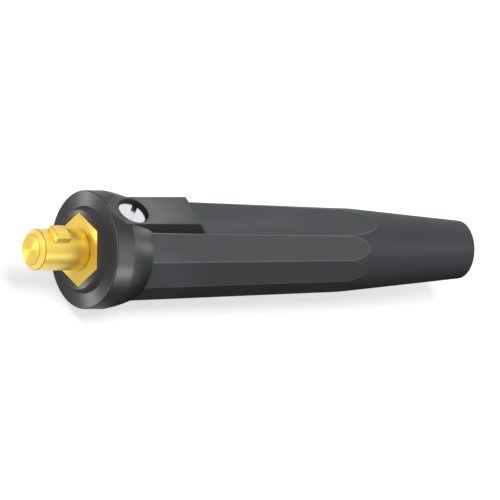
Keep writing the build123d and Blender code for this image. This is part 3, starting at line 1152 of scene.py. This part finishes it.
def add_lamp(name, piece_name, spot, direction, distance, width, height, spread_degrees, power):
    """A soft rectangular lamp that faces a spot on the plug from a direction."""
    data = bpy.data.lights.new(name, "AREA")
    data.shape = "RECTANGLE"
    data.size = width * MM
    data.size_y = height * MM
    data.spread = radians(spread_degrees)
    data.energy = power
    lamp = bpy.data.objects.new(name, data)
    lamp.visible_camera = False
    bpy.context.scene.collection.objects.link(lamp)
    toward = Vector(direction).normalized()
    place = Vector(spot) * MM + toward * distance * MM
    facing = toward.to_track_quat("Z", "Y").to_matrix().to_4x4()
    lamp.matrix_world = Matrix.Translation(place) @ facing
    if piece_name:
        kept_to = bpy.data.collections.new(name + "_keeps_to")
        kept_to.objects.link(bpy.data.objects[piece_name])
        lamp.light_linking.receiver_collection = kept_to


def seen_rays(tree, path):
    """One for rays from the camera, straight or through glass, and zero for the others."""
    return add_node(
        tree,
        "ShaderNodeMath",
        {0: path.outputs["Is Camera Ray"], 1: path.outputs["Is Transmission Ray"]},
        operation="MAXIMUM",
    ).outputs[0]


def pale_floor_material(colour):
    """Matt painted board: white where it is seen, with the shadow left in it.

    A mirrored ray sees it white too, except under the plug, where it stays in the plug's shadow.
    """
    material, tree = new_material("matt_painted_board")
    place = add_node(tree, "ShaderNodeTexCoord").outputs["Object"]
    axes = add_node(tree, "ShaderNodeSeparateXYZ", {"Vector": place})
    side = add_node(tree, "ShaderNodeMath", {0: axes.outputs["Y"]}, operation="ABSOLUTE")
    fades = [(side.outputs[0], SHADOW_SIDE), (axes.outputs["X"], SHADOW_FRONT)]
    clear_beside, clear_in_front = [
        add_node(
            tree,
            "ShaderNodeMapRange",
            {"Value": value, "From Min": start, "From Max": end},
            interpolation_type="SMOOTHSTEP",
        ).outputs["Result"]
        for value, (start, end) in fades
    ]
    clear = add_node(
        tree, "ShaderNodeMath", {0: clear_beside, 1: clear_in_front}, operation="MAXIMUM"
    )
    path = add_node(tree, "ShaderNodeLightPath")
    mirrored = add_node(
        tree,
        "ShaderNodeMath",
        {0: clear.outputs[0], 1: path.outputs["Is Glossy Ray"]},
        operation="MULTIPLY",
    )
    white = add_node(
        tree,
        "ShaderNodeMath",
        {0: seen_rays(tree, path), 1: mirrored.outputs[0]},
        operation="MAXIMUM",
    )
    paint = add_node(tree, "ShaderNodeBsdfDiffuse", {"Color": colour, "Roughness": 0.5})
    glow = add_node(tree, "ShaderNodeEmission", {"Color": colour, "Strength": FLOOR_GLOW})
    board = add_node(tree, "ShaderNodeAddShader", {0: paint.outputs[0], 1: glow.outputs[0]})
    shadowed = add_node(tree, "ShaderNodeBsdfDiffuse", {"Color": SHADOW_COLOUR, "Roughness": 0.5})
    surface = add_node(
        tree,
        "ShaderNodeMixShader",
        {0: white.outputs[0], 1: shadowed.outputs[0], 2: board.outputs[0]},
    )
    add_node(tree, "ShaderNodeOutputMaterial", {"Surface": surface.outputs[0]})
    return material


def white_world():
    """White where it is seen, also in a mirror or through glass, and a soft grey on the plug."""
    world = bpy.data.worlds.new("soft_studio")
    bpy.context.scene.world = world
    world.use_nodes = True
    tree = world.node_tree
    tree.nodes.clear()
    path = add_node(tree, "ShaderNodeLightPath")
    white = add_node(
        tree,
        "ShaderNodeMath",
        {0: seen_rays(tree, path), 1: path.outputs["Is Glossy Ray"]},
        operation="MAXIMUM",
    )
    strength = add_node(
        tree,
        "ShaderNodeMapRange",
        {"Value": white.outputs[0], "To Min": WORLD_LIGHT, "To Max": 1.0},
    )
    light = add_node(
        tree, "ShaderNodeBackground", {"Color": WHITE, "Strength": strength.outputs["Result"]}
    )
    add_node(tree, "ShaderNodeOutputWorld", {"Surface": light.outputs[0]})


class PLUG_OT_stage(bpy.types.Operator):
    """Sets the floor, the lamps, the world and the camera"""

    bl_idname = "plug.stage"
    bl_label = "Stage"

    def execute(self, context):
        s = context.scene.plug_stage
        context.scene.view_settings.view_transform = "Standard"
        # The picture has no patch of light that the brass would throw on the floor
        context.scene.cycles.caustics_reflective = False
        height = cad_box[0][2] - s.floor_gap
        reach = np.linspace(-s.floor_size / 2, s.floor_size / 2, FLOOR_LINES)
        x, y = np.meshgrid(reach + s.middle, reach, indexing="ij")
        points = np.stack([x, y, np.full_like(x, height)], axis=-1)
        index = np.arange(x.size).reshape(x.shape)
        quads = np.stack([index[:-1, :-1], index[1:, :-1], index[1:, 1:], index[:-1, 1:]], axis=-1)
        mesh = bpy.data.meshes.new("pale_floor")
        mesh.from_pydata(points.reshape(-1, 3), [], quads.reshape(-1, 4))
        mesh.materials.append(pale_floor_material(s.floor_colour))
        floor = bpy.data.objects.new("pale_floor", mesh)
        context.scene.collection.objects.link(floor)
        for lamp in LAMPS:
            add_lamp(*lamp)
        white_world()
        self.add_camera(context, s)
        return {"FINISHED"}

    @staticmethod
    def add_camera(context, s):
        """Parallel projection at equal angles, rolled so that the plug's axis lies level."""
        back = Vector(VIEW_FROM).normalized()
        right = Vector(VIEW_TOP).cross(back).normalized()
        up = back.cross(right)
        data = bpy.data.cameras.new("camera")
        data.lens_unit = "MILLIMETERS"
        data.lens = s.lens / MM
        data.sensor_width = SENSOR_WIDTH
        data.sensor_fit = "HORIZONTAL"
        distance = s.frame_width * data.lens / data.sensor_width
        data.clip_end = 4 * distance
        camera = bpy.data.objects.new("camera", data)
        context.scene.collection.objects.link(camera)
        place = Vector((s.middle, 0, 0)) - up * s.picture_lift + back * distance
        turned = Matrix((right, up, back)).transposed().to_4x4()
        camera.matrix_world = Matrix.Translation(place) @ turned
        context.scene.camera = camera


class PLUG_PT_sidebar(bpy.types.Panel):
    """The plug's pieces and stage, in the 3D view's sidebar"""

    bl_idname = "PLUG_PT_sidebar"
    bl_label = "Welding cable plug"
    bl_space_type = "VIEW_3D"
    bl_region_type = "UI"
    bl_category = "Plug"

    def draw(self, context):
        for operator in OPERATORS:
            self.layout.operator(operator.bl_idname)
        for name in SETTINGS:
            settings = getattr(context.scene, name)
            box = self.layout.box()
            for key in settings.__annotations__:
                box.prop(settings, key)


SETTINGS = {
    "plug_insulator": InsulatorSettings,
    "plug_contact": ContactSettings,
    "plug_screw": ScrewSettings,
    "plug_clamp": ClampSettings,
    "plug_stage": StageSettings,
}
OPERATORS = (
    PLUG_OT_insulator,
    PLUG_OT_contact,
    PLUG_OT_retaining_screw,
    PLUG_OT_clamp,
    PLUG_OT_stage,
)
CLASSES = (*SETTINGS.values(), *OPERATORS, PLUG_PT_sidebar)


def register():
    """Makes the classes and the scene's settings known to Blender."""
    for item in CLASSES:
        bpy.utils.register_class(item)
    for name, group in SETTINGS.items():
        setattr(bpy.types.Scene, name, PointerProperty(type=group))


def unregister():
    """Takes the settings and the classes out again."""
    for name in SETTINGS:
        delattr(bpy.types.Scene, name)
    for item in reversed(CLASSES):
        bpy.utils.unregister_class(item)


def main():
    """Builds everything in order."""
    register()
    bpy.ops.plug.insulator()
    bpy.ops.plug.contact()
    bpy.ops.plug.retaining_screw()
    bpy.ops.plug.clamp()
    bpy.ops.plug.stage()


if __name__ == "__main__":
    main()
